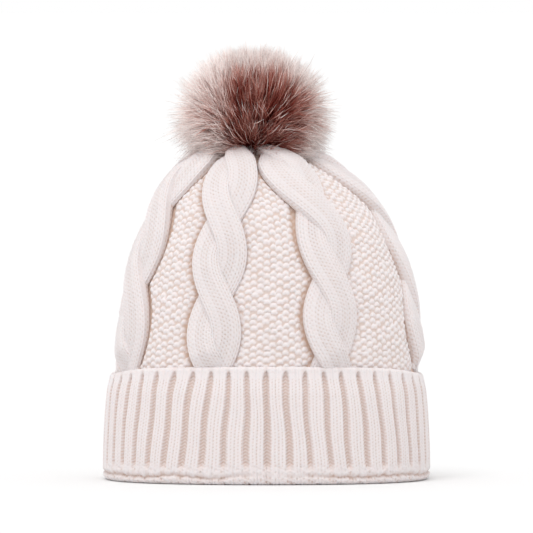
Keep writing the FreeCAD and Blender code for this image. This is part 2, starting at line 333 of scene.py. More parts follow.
def beads(across, up):
    """Moss stitch: arched ovals in columns, each second column half a step higher. About 1 on a bead.

    A bead is the root of 1 - x squared - y squared over its oval, less a notch at its lower edge.
    """
    best = np.zeros(np.broadcast(across, up).shape)
    nearest = np.round(across / BEAD_COLUMN)
    for beside in (-1, 0, 1):
        column = nearest + beside
        offset = 0.5 * (column % 2)
        row = np.round(up / BEAD_ROW - offset)
        for above in (-1, 0, 1):
            odd, even = scatter(column, row + above), scatter(row + above + 31, column)
            half_wide = (BEAD_HALF[0] + 0.10 * even) * BEAD_COLUMN
            half_tall = BEAD_HALF[1] + 0.04 * (even - odd)
            x = (across - column * BEAD_COLUMN - BEAD_STRAY[0] * (odd - 0.5)) / half_wide
            y = (up - (row + above + offset) * BEAD_ROW - BEAD_STRAY[1] * (even - 0.5)) / BEAD_ROW
            y = (y + BEAD_ARCH * x * x) / half_tall
            bead = np.sqrt(np.maximum(0.0, 1.0 - x * x - y * y)) * (0.76 + 0.36 * odd)
            notch = np.exp(-(x / 0.30) ** 2 - ((y + 0.75) / 0.45) ** 2)
            best = np.maximum(best, bead * (1.0 - BEAD_NOTCH * notch))
    return best


def lines(length, grain):
    """Odd count of grid lines along a length, so that a back with every second line ends on the rim."""
    return 2 * int(length / grain / 2) + 1


def surface_out(grid):
    """Unit normals of a grid of points: its steps along rows crossed with those along columns."""
    return unit(np.cross(np.gradient(grid, axis=0), np.gradient(grid, axis=1)))


def quads(rows, columns, around=False):
    """Faces of a grid, seen from outside where rows then columns turn anticlockwise."""
    last = columns if around else columns - 1
    i, j = np.meshgrid(np.arange(rows - 1), np.arange(last), indexing="ij")
    after = (j + 1) % columns
    corners = [i * columns + j, (i + 1) * columns + j, (i + 1) * columns + after, i * columns + after]
    return np.stack(corners, axis=-1).reshape(-1, 4)


def make_piece(name, points, faces, finish, body, slot, stands_for=(), **values):
    """Mesh in metres from points in millimetres, with arrays of like-sided faces and values at points."""
    mesh = bpy.data.meshes.new(name)
    points = np.asarray(points, float).reshape(-1, 3)
    faces = [np.asarray(group) for group in faces if len(group)]
    corners = np.concatenate([group.ravel() for group in faces])
    sides = np.concatenate([np.full(len(group), group.shape[1]) for group in faces])
    mesh.vertices.add(len(points))
    mesh.vertices.foreach_set("co", (points * MM).astype(np.float32).ravel())
    mesh.loops.add(len(corners))
    mesh.loops.foreach_set("vertex_index", corners.astype(np.int32))
    mesh.polygons.add(len(sides))
    mesh.polygons.foreach_set("loop_start", (np.cumsum(sides) - sides).astype(np.int32))
    mesh.polygons.foreach_set("use_smooth", np.ones(len(sides), bool))
    mesh.update(calc_edges=True)
    for key_name, value in values.items():
        layer = mesh.attributes.new(key_name, "FLOAT", "POINT")
        layer.data.foreach_set("value", np.asarray(value, np.float32).ravel())
    mesh.materials.append(finish.material)
    piece = bpy.data.objects.new(name, mesh)
    bpy.context.scene.collection.objects.link(piece)
    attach(piece, body)
    if stands_for:
        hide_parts(*stands_for)
    return piece


def shell(face, back, ratio):
    """Closed skin: a fine face grid, a back grid with every ratio-th point, and a strip round the rim.

    Both have rows and columns in the same order, and the back's faces are turned over.
    """
    n, m = face.shape[:2]
    p, q = back.shape[:2]

    def rim(rows, columns):
        index = np.arange(rows * columns).reshape(rows, columns)
        return np.concatenate([index[:-1, 0], index[-1, :-1], index[:0:-1, -1], index[0, :0:-1]])

    outer, inner = rim(n, m), rim(p, q) + n * m
    inner_next = np.roll(inner, -1)
    strips = [np.stack([inner, inner_next, np.roll(outer[::ratio], -1)], axis=1)]
    for k in range(ratio):
        first = np.roll(outer, -k)[::ratio]
        second = np.roll(outer, -k - 1)[::ratio]
        strips.append(np.stack([inner, second, first], axis=1))
    turned = quads(p, q)[:, ::-1] + n * m
    return np.concatenate([face.reshape(-1, 3), back.reshape(-1, 3)]), [quads(n, m), turned, *strips]


def yarn_finish(name, grain=1.0, painted_light_gain=1.0, shade_colour=CREVICE_SHADE):
    """Soft matt yarn: ivory on top of the stitches and painted shade of warm tan in the gaps, with fine
    loose fibres.
    """
    made = Finish(name, Roughness=0.92, Sheen_Weight=0.35, Sheen_Roughness=0.45, Specular_IOR_Level=0.2,
                  Subsurface_Weight=0.2, Subsurface_Radius=(1.0, 0.75, 0.65), Subsurface_Scale=0.0008)
    gap = made.attribute("gap")
    fibre = made.noise(FIBRES * grain, 3.0, rough=0.65)
    cloud = made.noise(CLOUDS, 2.0)
    # Brightness gain: painted light above 1 and painted shade below 1, times a random cloud and fibre
    # tone.
    lit = made.tint(IVORY, painted_light_gain * (0.955 + 0.05 * cloud + 0.05 * fibre))
    # Painted shade: a value carried at the mesh's points mixes the yarn towards the warm tan shade
    # colour.
    made.colour(made.mix(gap ** 1.35, lit, shade_colour))
    made.bump(fibre, FIBRE_HEIGHT, 0.55)
    return made


# The panels' yarn is painted lighter than the same yarn on the cables: painted light that evens out their
# shade.
moss_yarn = yarn_finish("moss_stitch_yarn", painted_light_gain=1.035)


def moss_panel(number):
    """One wedge between two cable middles: the dome, raised along its normal.

    The height is a puff away from the cables, plus the beads, less a gutter along each cable's outline.
    """
    rises, walked = meridian(0.5 * (cable_line(number, 0.3) + cable_line(number + 1, 0.3)))
    top = np.interp(PANEL_END_R, dome_size(rises[::-1])[0], rises[::-1])
    length = np.interp(top, rises, walked) - walked[0]
    rows = lines(length, PANEL_GRAIN)
    rise = np.interp(np.linspace(walked[0], walked[0] + length, rows), walked, rises)
    left, right = cable_line(number, rise), cable_line(number + 1, rise)
    wide = np.linalg.norm(dome(left[0], rise[0]) - dome(right[0], rise[0]))
    columns = lines(COLUMN_SHARE * wide, PANEL_GRAIN)
    even = np.linspace(0.0, 1.0, columns)
    share = (even + HIDDEN_STRETCH * np.sin(2 * np.pi * even) / (2 * np.pi))[:, None]
    theta = left + (right - left) * share
    ground = dome(theta, rise[None, :])
    out = dome_out(theta, rise[None, :])

    across = np.cumsum(np.linalg.norm(np.diff(ground, axis=0, prepend=ground[:1]), axis=2), axis=0)
    width = across[-1]
    middle = across - 0.5 * width
    up = np.interp(rise, rises, walked)[None, :] + 0.0 * across
    narrow = crown_share(rise)[None, :]
    after_cable = across - cable_reach(number, up, narrow)
    before_cable = width - across - cable_reach(number + 1, up, narrow)
    clear = np.minimum(after_cable, before_cable)

    sway = 0.9 * drift(middle, up, 60.0, 3 + number)
    bead = beads(middle + sway, up + 0.9 * drift(middle, up, 50.0, 40 + number))
    shelf, sunk = 1.0, 0.0
    for gutter, beyond in zip(GUTTER_WIDTHS[number], (after_cable, before_cable)):
        low = 1.0 - smooth(GUTTER_EDGE, gutter + GUTTER_BANK, beyond)
        shelf = shelf * (1.0 - low)
        sunk = np.maximum(sunk, low * min(1.0, gutter / GUTTER_FULL))
    closing = smooth(*CLOSING_SPAN, up)
    depth = GUTTER_DEPTH * sunk * (1.0 - closing) - CLOSING_RISE * closing * (1.0 - shelf)
    swell = PANEL_PUFF * smooth(0.0, PUFF_REACH, clear) + 0.5 * drift(middle, up, 38.0, 70 + number)
    height = swell * shelf - depth + BEAD_HEIGHT * bead * (0.25 + 0.75 * shelf)
    face = ground + out * (height - PANEL_SINK)[..., None]
    back = (ground - out * (PANEL_THICKNESS - 0.45 * bead[..., None]))[::2, ::2]

    # Painted shade: darker between the beads, in the gutters beside the cables and on the back.
    gap = np.clip(1.0 - 1.5 * bead, 0.0, 1.0) * 0.66
    gaps = np.concatenate([np.clip(gap + 0.85 * sunk, 0, 1).ravel(), 0.8 * gap[::2, ::2].ravel()])
    points, faces = shell(face, back, 2)
    make_piece(f"moss_panel_{number + 1}", points, faces, moss_yarn, "hat", "moss_knit",
               [f"seed_panel_{number + 1}"], gap=gaps)


for number in range(len(CABLE_ANGLES)):
    moss_panel(number)

# Cables ------------------------------------------------------------------------------------------
# Seven rope cables of two strands each, plain knitting about five wales wide. The strands cross every
# eighteen rows, always turning the same way, tuck in behind the cuff and narrow to the crown.
WALE = 3.9
ROW = 2.85
STITCH_HEIGHT = 1.0
STITCH_HALF = (0.27, 0.92)  # half a stitch leg, thick in wales and long in rows
STITCH_LEAN = (0.135, 0.62)  # the way a leg leans, in wales and rows
STITCH_ASIDE = 0.245
STITCH_DOTS = ((0.0, 0.30), (0.5, 0.85))
DOT_SIZE = (0.13, 0.20)
STRAND_HALF_THICK = 2.7
STRAND_LIFT = 2.0  # above or below the cable's middle, at a crossing
STRAND_MIDDLE = 3.0
STRAND_LOW = 0.6  # middle of a strand that is tucked in behind the cuff
STRAND_TUCK = 7.5
STRAND_RISE = 14.0
STRAND_ROOT = 2.6  # how far the sole reaches into the ground fabric
STRAND_FLARE = 0.14
STRAND_BROW = 0.12  # the knitted top goes this share of a half turn past each side
STRAND_GRAIN = 0.72
STRAND_TOP_COLUMNS = 48
STRAND_UNDER_COLUMNS = 8
STRAND_END_R = 8.0
ROLL = 0.16


def ring_steps(count):
    """Each place round a ring, and the next one."""
    return np.arange(count), (np.arange(count) + 1) % count


def wales(across, up, wale=WALE, row=ROW):
    """Plain knitting: each stitch is a V of two slanted ovals, less small dots where stitches meet."""
    column = np.floor(across / wale)
    x = across - (column + 0.5) * wale
    first = np.floor(up / row)
    best = np.zeros(np.broadcast(across, up).shape)
    thick, length = STITCH_HALF[0] * wale, STITCH_HALF[1] * row
    lean = np.array([STITCH_LEAN[0] * wale, STITCH_LEAN[1] * row])
    lean = lean / np.hypot(*lean)
    for side in (-1.0, 1.0):
        for step in (-1, 0, 1):
            level = first + step
            odd = scatter(column * 2 + side, level)
            dx = side * x - STITCH_ASIDE * wale + 0.10 * (odd - 0.5)
            dy = up - (level + 0.5) * row
            along = (dx * lean[0] + dy * lean[1]) / length
            aside = (dx * lean[1] - dy * lean[0]) / thick
            top = np.sqrt(np.maximum(0.0, 1.0 - along ** 2 - aside ** 2))
            best = np.maximum(best, top * (0.93 + 0.14 * odd) - 0.10 * np.maximum(0.0, along))
    dots = 0.0
    for aside, lift in STITCH_DOTS:
        x = across / wale - 0.5 - aside
        y = up / row - lift
        x, y = x - np.round(x), y - np.round(y)
        dots = dots + np.exp(-(x / DOT_SIZE[0]) ** 2 - (y / DOT_SIZE[1]) ** 2)
    return 0.30 + 0.62 * best - 0.85 * dots


def strand_path(number, side):
    """Middle line of a strand, the way beside it and the way out, with its share of width, tuck and lift.

    It swings by the sine and rises by the cosine of a half turn for each pitch, and rolls as it swings.
    """
    rises, walked = meridian(CABLE_ANGLES[number])
    stop = np.interp(-STRAND_END_R, -dome_size(rises)[0], walked)
    count = int((stop + STRAND_TUCK) / STRAND_GRAIN)
    distance = np.linspace(max(walked[0] + 0.2, -STRAND_TUCK), stop, count)
    rise = np.interp(distance, walked, rises)
    share = crown_share(rise)
    turn = np.pi * (distance - CABLE_PHASES[number]) / CABLE_PITCHES[number]
    tucked = smooth(0.0, STRAND_RISE, distance)
    swing = -side * STRAND_SWING * share * np.sin(turn)
    lift = STRAND_MIDDLE * (0.4 + 0.6 * share) + side * STRAND_LIFT * (0.5 + 0.5 * share) * np.cos(turn)
    lift = STRAND_LOW + (lift - STRAND_LOW) * tucked

    line = cable_line(number, rise)
    near = 0.1
    per_radian = np.linalg.norm(dome(line + near, rise) - dome(line - near, rise), axis=1) / (2 * near)
    theta = line + swing / np.maximum(per_radian, 1.0)
    outward = dome_out(theta, rise)
    middle = dome(theta, rise) + outward * lift[:, None]
    along = unit(np.gradient(middle, axis=0))
    beside = unit(np.cross(along, outward))
    outward = np.cross(beside, along)
    roll = (-ROLL * swing / STRAND_SWING * share)[:, None]
    beside, outward = (beside * np.cos(roll) + outward * np.sin(roll),
                       outward * np.cos(roll) - beside * np.sin(roll))
    return middle, beside, outward, share, tucked, lift


def strand_section(share, tucked, lift):
    """Outline of a strand round each point of its path, with its normals: arched top, square flared sole.

    Both are cosines and sines to a power, which is 0.9 for the top and 0.5 for the sole.
    """
    brow = np.linspace(-STRAND_BROW * np.pi, (1 + STRAND_BROW) * np.pi, STRAND_TOP_COLUMNS)
    sole = np.linspace((1 + STRAND_BROW) * np.pi, (2 - STRAND_BROW) * np.pi, STRAND_UNDER_COLUMNS + 2)
    angle = np.concatenate([brow, sole[1:-1]])
    half_wide = (STRAND_HALF * share)[:, None]
    half_thick = (STRAND_HALF_THICK * (0.45 + 0.55 * share) * (0.45 + 0.55 * tucked))[:, None]
    x, y = np.cos(angle), np.sin(angle)
    foot = (lift + STRAND_ROOT)[:, None]
    flare = 1.0 + STRAND_FLARE * np.sqrt(np.maximum(-y, 0.0))
    x = np.sign(x) * np.abs(x) ** np.where(y < 0, 0.5, 0.9) * half_wide * flare
    y = np.where(y < 0, -foot * np.abs(y) ** 0.5, half_thick * np.abs(y) ** 0.9)
    normal_x, normal_y = x / half_wide ** 2, y / half_thick ** 2
    size = np.hypot(normal_x, normal_y)
    return np.sin(angle)[None, :], x, y, normal_x, normal_y, size


def cable_strand(number, side, finish):
    """Flattened tube: its section carried along its path, raised by wales on its top, ends closed."""
    middle, beside, outward, share, tucked, lift = strand_path(number, side)
    level, x, y, normal_x, normal_y, size = strand_section(share, tucked, lift)
    step = np.hypot(np.diff(x, axis=1, prepend=x[:, :1]), np.diff(y, axis=1, prepend=y[:, :1]))
    across = np.cumsum(step, axis=1)
    across = across - across[:, STRAND_TOP_COLUMNS // 2:STRAND_TOP_COLUMNS // 2 + 1]
    across = across / np.maximum(share, 0.5)[:, None]
    up = np.cumsum(np.linalg.norm(np.diff(middle, axis=0, prepend=middle[:1]), axis=1))[:, None]
    up = up + 0.8 * drift(across, up, 45.0, 100 + number) + 0.35 * np.abs(across) * 0.2
    stitch = wales(-across + 0.5 * WALE + 0.25 * drift(across, up, 30.0, 120 + number), up)
    shown = smooth(-0.9, -0.2, level)
    height = STITCH_HEIGHT * (stitch - 0.6) * (0.35 + 0.65 * share[:, None]) * shown
    x, y = x + height * normal_x / size, y + height * normal_y / size
    points = middle[:, None, :] + beside[:, None, :] * x[..., None] + outward[:, None, :] * y[..., None]

    # Painted shade: darker in the dots between stitches, on the strand's underside and on its end caps.
    gap = np.clip(0.78 - 1.2 * stitch, 0.0, 1.0) * 0.9 + 0.50 * smooth(0.15, -0.5, level)
    gap = np.append(np.clip(gap, 0, 1).ravel(), [0.6, 0.6])
    n, m = points.shape[:2]
    ends = np.stack([points[0].mean(axis=0), points[-1].mean(axis=0)])
    ring, after = ring_steps(m)
    start = np.stack([np.full(m, n * m), ring, after], axis=1)
    finish_cap = np.stack([np.full(m, n * m + 1), (n - 1) * m + after, (n - 1) * m + ring], axis=1)
    letter = "a" if side > 0 else "b"
    make_piece(f"cable_{number + 1}_rope_{letter}", np.concatenate([points.reshape(-1, 3), ends]),
               [quads(n, m, True), start, finish_cap], finish, "hat", "cable_knit",
               [f"cable_{number + 1}_strand_{letter}"], gap=gap)


# The cables' yarn is painted a little darker than the panels': painted shade on the same yarn.
cable_yarn = yarn_finish("cable_yarn", painted_light_gain=0.98)
for number in range(len(CABLE_ANGLES)):
    cable_strand(number, 1, cable_yarn)
    cable_strand(number, -1, cable_yarn)

# Yarns that close the fabric ---------------------------------------------------------------------
# A ring of two-ply yarn draws the last stitches together round the snap, and a sewn ridge of the same
# yarn closes the back from inside. Each ply is a thin tube that winds round the yarn's own line.
PLY_TURN = 5.5
PLY_SIDES = 8
YARN_R = 1.2
GATHER_R = 6.5
GATHER_DROP = 2.0


def plied_yarn(line, radius, closed):
    """Two tubes, half a turn apart, each half as thick as the yarn and wound round its line."""
    line = np.asarray(line, float)
    if closed:
        along = unit(np.roll(line, -1, axis=0) - np.roll(line, 1, axis=0))
    else:
        along = unit(np.gradient(line, axis=0))
    side = unit(np.cross(along, np.array([0.31, 0.17, 0.93])))
    other = np.cross(along, side)
    run = np.cumsum(np.linalg.norm(np.diff(line, axis=0, prepend=line[:1]), axis=1))
    turns = max(1, round(run[-1] / PLY_TURN))
    angle = 2 * np.pi * run / PLY_TURN
    if closed:
        angle = 2 * np.pi * turns * run / run[-1] * (len(line) - 1) / len(line)
    points, faces, base = [], [], 0
    around = np.linspace(0, 2 * np.pi, PLY_SIDES + 1)[:-1]
    for start in (0.0, np.pi):
        spin = (angle + start)[:, None]
        centre = line + 0.5 * radius * (np.cos(spin) * side + np.sin(spin) * other)
        ring = (centre[:, None, :] + 0.55 * radius * (np.cos(around)[None, :, None] * side[:, None, :]
                                                     + np.sin(around)[None, :, None] * other[:, None, :]))
        n, m = ring.shape[:2]
        if closed:
            ring = np.concatenate([ring, ring[:1]])
            grid = quads(n + 1, m, True)
            grid = np.where(grid >= n * m, grid - n * m, grid)
            ring = ring[:-1]
            caps = []
        else:
            grid = quads(n, m, True)
            caps = [np.arange(m)[None, :], (np.arange(m)[::-1] + (n - 1) * m)[None, :]]
        points.append(ring.reshape(-1, 3))
        faces += [grid + base] + [cap + base for cap in caps]
        base += n * m
    return np.concatenate(points), faces


sewing_yarn = yarn_finish("sewing_yarn", 1.4)
turn = np.linspace(0, 2 * np.pi, 121)[:-1]
ring = np.stack([CROWN_X + GATHER_R * np.cos(turn), GATHER_R * np.sin(turn),
                 0 * turn + CROWN_Z - GATHER_DROP], axis=1)
points, faces = plied_yarn(ring, YARN_R, True)
# Painted shade: an even share of the shade colour darkens the gathering yarn a little.
make_piece("crown_gather", points, faces, sewing_yarn, "crown_ring", "sewing_yarn",
           ["crown_gather_yarn"], gap=np.full(len(points), 0.15))

SEAM_ANGLE = math.radians(163.0)
SEAM_DEPTH = 5.6
SEAM_FOOT = 9.0
SEAM_TOP = 0.82
seam_rise = np.linspace(0.0, SEAM_TOP, 150)
seam_up = dome(SEAM_ANGLE, seam_rise) - dome_out(SEAM_ANGLE, seam_rise + 1e-3) * SEAM_DEPTH
seam_z = np.linspace(SEAM_FOOT, SHOULDER - 1.0, 50)
seam_x, seam_y = oval(SEAM_ANGLE, HALF_WIDTH - SEAM_DEPTH, HALF_DEPTH - SEAM_DEPTH, SQUARENESS)
seam_low = np.stack([0 * seam_z + seam_x, 0 * seam_z + seam_y, seam_z], axis=1)
points, faces = plied_yarn(np.concatenate([seam_low, seam_up[2:]]), YARN_R, False)
# Painted shade: an even share of the shade colour darkens the seam yarn a little.
make_piece("back_seam", points, faces, sewing_yarn, "hat", "sewing_yarn", ["back_seam_yarn"],
           gap=np.full(len(points), 0.2))

# Cuff --------------------------------------------------------------------------------------------
# The hat starts with two-by-two ribbing, folded up once: the turned-up layer outside, the inner band
# against the head, and the fold that joins them and stands on the table. Both are soft ivory yarn.
RIBS = 48
RIB_COLUMNS = 24
RIB_PITCH = 13.5  # two knit wales and two purl wales
RIB_WALE = 4.55
RIB_ROW = 2.25
RIB_HALF = 4.9  # half the width of what stands up
RIB_DEPTH = 2.3
RIB_STITCH = 0.6
# Painted shade colour for the cuff's valleys and stitch pits.
RIB_CREVICE_SHADE = (0.60, 0.44, 0.37)
CUFF_PARTS = 4
CUFF_GRAIN = 0.6
CUFF_BACK_RATIO = 4
CUFF_MARGIN = 0.6  # the yarn stands this far past the smooth outline at most
EDGE_R = 2.1
EDGE_ARCH = 3.6  # the free edge is this much higher in front
EDGE_DIP = 4.2  # and this much lower at the sides
EDGE_FLARE = 1.6
WAIST = 1.2
FOLD_HALF = 7.4
FOLD_POWER = 0.65  # under 1, the fold is squarer than a round one
VALLEY_TOP = (3.0, 2.2, 1.6)  # least drop below the edge, widest step aside that counts, softness
VALLEY_FOOT = (9.0, 15.0)
LIP_RISE = 5.4
LIP_HALF = 1.25
LIP_DEPTH = 2.0
MOTTLE_SIZE = 2.6
MOTTLE_TOP = (17.0, 11.0)
CUFF_TAPER = (4.4, 3.0)
CUFF_LOW = METRE * np.array(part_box("cuff_turn_up")[1])[:2] - CUFF_MARGIN
CUFF_HIGH = CUFF_LOW - np.array(CUFF_TAPER)


def ring_line(inset_x, inset_y, z, theta):
    """The cuff's widest outline, drawn in by an inset each way, at height z."""
    x, y = oval(theta, CUFF_LOW[0] - inset_x, CUFF_LOW[1] - inset_y, SQUARENESS)
    return np.stack([x, y, z + 0.0 * x], axis=-1)


def even_angles(half_width, half_depth, count):
    """Angles whose points are evenly spaced round the oval, by inverting its running length."""
    theta = np.linspace(-np.pi, np.pi, 4001)
    x, y = oval(theta, half_width, half_depth, SQUARENESS)
    run = np.concatenate([[0.0], np.cumsum(np.hypot(np.diff(x), np.diff(y)))])
    return np.interp(np.linspace(0.0, run[-1], count + 1), run, theta)


def ribbing(rib, up, depth):
    """Two knit wales stand up and two purl wales sink between, by depth, with chevrons in the valley."""
    x = (rib - np.floor(rib) - 0.5) * RIB_PITCH
    width = RIB_HALF + 0.7 * (scatter(np.floor(rib), 3.0) - 0.5)
    standing = 1.0 - smooth(width - 0.5, width + 0.7, np.abs(x))
    crease = np.exp(-(x / 0.55) ** 2)
    stitch = wales(x + 2 * RIB_WALE, up, RIB_WALE, RIB_ROW)
    valley = np.abs(x) - 0.5 * RIB_PITCH
    chevron = 0.5 + 0.5 * np.cos(2 * np.pi * (up / RIB_ROW + 0.32 * np.abs(valley)))
    height = standing * depth + RIB_STITCH * (stitch - 0.6) * (0.3 + 0.7 * standing)
    height = height - 0.25 * crease * standing + 0.45 * (chevron - 0.5) * (1.0 - standing)
    # Painted shade: darker in the pits between stitches on the ribs and in the valleys between them,
    # lighter on each chevron.
    gap = 0.95 * np.clip(0.85 - 1.2 * stitch, 0, 1) * standing + (1 - standing) * (0.95 - 0.55 * chevron)
    return height, gap, standing


rib_yarn = yarn_finish("rib_yarn", 1.2, shade_colour=RIB_CREVICE_SHADE)
column_angles = even_angles(*CUFF_LOW, RIBS * RIB_COLUMNS)


def cuff_profile():
    """Inset from the widest outline, and height: round the fold, up the wall and over the free edge."""
    inner = np.linspace(0.0, 0.5 * np.pi, 20)[:-1]
    under_in = FOLD_HALF * np.stack([1 + np.cos(inner), 1 - np.sin(inner)])
    outer = np.linspace(0.0, 0.5 * np.pi, 24)[:-1]
    under_out = FOLD_HALF * np.stack([1 - np.sin(outer) ** FOLD_POWER, 1 - np.cos(outer) ** FOLD_POWER])
    straight = CUFF_TOP - EDGE_R - FOLD_HALF
    rise = np.linspace(FOLD_HALF, CUFF_TOP - EDGE_R, int(straight / CUFF_GRAIN))
    wall = np.stack([0.0 * rise, rise])
    edge = np.linspace(0.0, np.pi, 14)[1:]
    over = np.stack([EDGE_R * (1 - np.cos(edge)), CUFF_TOP - EDGE_R + EDGE_R * np.sin(edge)])
    profile = np.concatenate([under_in, under_out, wall, over], axis=1)
    keep = (profile.shape[1] - 1) // CUFF_BACK_RATIO * CUFF_BACK_RATIO + 1
    return profile[:, -keep:]


def cuff_base(theta):
    """Smooth outside of the cuff: its profile swept round the oval, narrower towards the free edge.

    The edge rises by a power of cos theta in front and dips by a power of sin theta at the sides. The
    insets, heights, shares of the full height and distances below the edge come with it.
    """
    inset, z = cuff_profile()[:, None, :]
    edge = EDGE_ARCH * np.maximum(0.0, np.cos(theta)) ** 1.5 - EDGE_DIP * np.abs(np.sin(theta)) ** 8
    z = z + edge * np.clip(z / CUFF_TOP, 0.0, 1.0) ** 2
    level = np.clip(z / CUFF_TOP, 0.0, 1.0)
    bulge = EDGE_FLARE * smooth(0.78, 1.0, level) - WAIST * np.sin(np.pi * level)
    taper_x, taper_y = ((low - high) * level + bulge for low, high in zip(CUFF_LOW, CUFF_HIGH))
    base = ring_line(inset + taper_x, inset + taper_y, z, theta)
    return base, inset, z, level, CUFF_TOP + edge - z


def cuff_quarter(number):
    """A quarter of the turned-up layer: its smooth outside, less valleys that arch over at the edge.

    Ribs fan out and drift aside a little towards the fold, where a groove and mottled dents mark its lip;
    both carry painted shade.
    """
    per = RIBS * RIB_COLUMNS // CUFF_PARTS
    index = np.arange(number * per, (number + 1) * per + 1)
    theta = column_angles[index][:, None]
    base, inset, z, level, from_edge = cuff_base(theta)
    out = surface_out(base)
    run = np.cumsum(np.linalg.norm(np.diff(base, axis=1, prepend=base[:, :1]), axis=2), axis=1)

    rib = index[:, None] / RIB_COLUMNS
    around = rib * RIB_PITCH
    fan = 1.1 * np.sin(theta) * np.cos(theta) ** 2 * (1 - level) ** 1.3
    swirl = 0.22 * drift(around, 0 * rib, 120.0, 9) * (1 - level) ** 1.5
    uneven = 0.10 * drift(around, z, 50.0, 11) - fan
    ends = np.sin(np.pi * (index[:, None] - index[0]) / per) ** 0.5
    x = rib + (swirl + uneven) * np.minimum(1.0, 3 * ends)
    least, most_aside, soft = VALLEY_TOP
    arch = least + np.minimum(np.abs(x - np.round(x)) * RIB_PITCH, most_aside) ** 2
    opened = smooth(arch - soft, arch + soft, from_edge)
    opened = opened * smooth(*VALLEY_FOOT, z + 0.6 * drift(13.0 * rib, z, 40.0, 5))
    outside = inset < 0.9 * FOLD_HALF
    opened = np.where(outside, opened, 0.0)
    height, gap, standing = ribbing(x, run, 1.0)
    height = height - standing + (standing - 1.0) * RIB_DEPTH * opened
    # Painted shade: only the opened valleys are fully shaded; the shut ones near the edge keep a little.
    gap = gap * opened + (1 - opened) * 0.22 * (1 - standing)

    wave = 1.7 * drift(around, 0 * z, 30.0, 21) + 0.9 * drift(around, 0 * z, 9.0, 22)
    lip = np.exp(-((z - LIP_RISE - wave) / LIP_HALF) ** 2) * (inset < FOLD_HALF)
    beside = smooth(0.10, 0.55, 0.4 * drift(around, 0 * z, 190.0, 31) + 1.1 * np.abs(np.sin(theta)))
    mottle = smooth(0.1, 0.7, drift(around, z, MOTTLE_SIZE, 61)) * smooth(*MOTTLE_TOP, z) * outside
    height = height - LIP_DEPTH * lip * beside - 0.5 * mottle
    # Painted shade in the lip's groove, strongest at the sides, and in the mottled dents, strongest in
    # the lowest 5 mm.
    gap = np.clip(gap + 0.65 * lip * beside + (0.35 + 0.25 * (z < 5.0)) * mottle, 0, 1)
    face = base + out * height[..., None]
    sink = np.minimum(3.4, 1.3 + 0.25 * np.minimum(run, run[:, -1:] - run))
    back = (base - out * sink[..., None])[::CUFF_BACK_RATIO, ::CUFF_BACK_RATIO]
    points, faces = shell(face, back, CUFF_BACK_RATIO)
    # Painted shade: the back is evenly half shaded.
    gaps = np.concatenate([gap.ravel(), np.full(back.shape[0] * back.shape[1], 0.5)])
    make_piece(f"cuff_ribbing_{number + 1}", points, faces, rib_yarn, "hat", "rib_knit",
               ["cuff_turn_up"], gap=gaps)


for number in range(CUFF_PARTS):
    cuff_quarter(number)

BAND_PARTS = 2
BAND_COLUMNS = 10
BAND_GRAIN = 1.4
BAND_FOOT = 6.0
BAND_TOP = SHOULDER + 2.0
BAND_DEPTH = 1.6
BAND_THICKNESS = 3.0
BAND_HALVES = (HALF_WIDTH - 4.0, HALF_DEPTH - 4.0)
band_angles = even_angles(*BAND_HALVES, RIBS * BAND_COLUMNS)


def cuff_inside(number):
    """Half of the inner band: ribbing that faces the head, with a plain back against the outer layer."""
    per = RIBS * BAND_COLUMNS // BAND_PARTS
    index = np.arange((number + 1) * per, number * per - 1, -1)
    theta = band_angles[index][:, None]
    z = np.linspace(BAND_FOOT, BAND_TOP, lines(BAND_TOP - BAND_FOOT, BAND_GRAIN))[None, :]
    x, y = oval(theta, *BAND_HALVES, SQUARENESS)
    base = np.stack(np.broadcast_arrays(x, y, z), axis=-1)
    out = surface_out(base)
    height, gap, _ = ribbing(index[:, None] / BAND_COLUMNS + 0.0 * z, z, BAND_DEPTH)
    face = base + out * (height - BAND_DEPTH)[..., None]
    back = (base - out * BAND_THICKNESS)[::2, ::2]
    points, faces = shell(face, back, 2)
    # Painted shade: the back is evenly half shaded.
    gaps = np.concatenate([gap.ravel(), np.full(back.shape[0] * back.shape[1], 0.5)])
    make_piece(f"cuff_inside_{number + 1}", points, faces, rib_yarn, "hat", "rib_knit",
               ["cuff_inner_band"], gap=gaps)


for number in range(BAND_PARTS):
    cuff_inside(number)

# Snap --------------------------------------------------------------------------------------------
# A pressed nickel-plated snap holds the pom: a stud riveted through a felt disc inside the crown, and a
# socket with a spring ring riveted to the pom's plastic disc. The metal parts are the design's own.


def flecked(name, scale, detail, dark, pale, relief=0.0, rough=0.5, **constants):
    """Finish whose colour goes between two shades by a fine noise, which may also be its relief."""
    made = Finish(name, **constants)
    fleck = made.noise(scale, detail, rough=rough)
    made.colour(made.mix(fleck, dark, pale))
    if relief:
        made.bump(fleck, relief)
    return made, fleck


nickel, smudge = flecked("nickel_plate", 900.0, 3.0, (0.62, 0.60, 0.57), (0.74, 0.72, 0.69), Metallic=1.0)
nickel.put(nickel.shader.inputs["Roughness"], 0.24 + 0.16 * smudge)
nickel.bump(nickel.noise(3500.0, 2.0), 0.00004)

steel, drawn = flecked("spring_steel", 2400.0, 2.0, (0.50, 0.50, 0.51), (0.66, 0.66, 0.67), Metallic=1.0)
steel.put(steel.shader.inputs["Roughness"], 0.2 + 0.15 * drawn)

moulding, _ = flecked("disc_moulding", 1800.0, 2.0, (0.80, 0.77, 0.71), (0.86, 0.84, 0.79), 0.00005,
                      Roughness=0.5)
felt, _ = flecked("pressed_felt", 1500.0, 5.0, (0.64, 0.57, 0.51), (0.80, 0.74, 0.69), 0.0004, 0.7,
                  Roughness=0.95, Sheen_Weight=0.4)

for node, finish in {"snap_stud": nickel, "snap_stud_cap": nickel, "snap_socket": nickel,
                     "pom_socket_rivet": nickel, "socket_spring_wire": steel,
                     "pom_base_disc": moulding}.items():
    frame["nodes"][node].data.materials.clear()
    frame["nodes"][node].data.materials.append(finish.material)


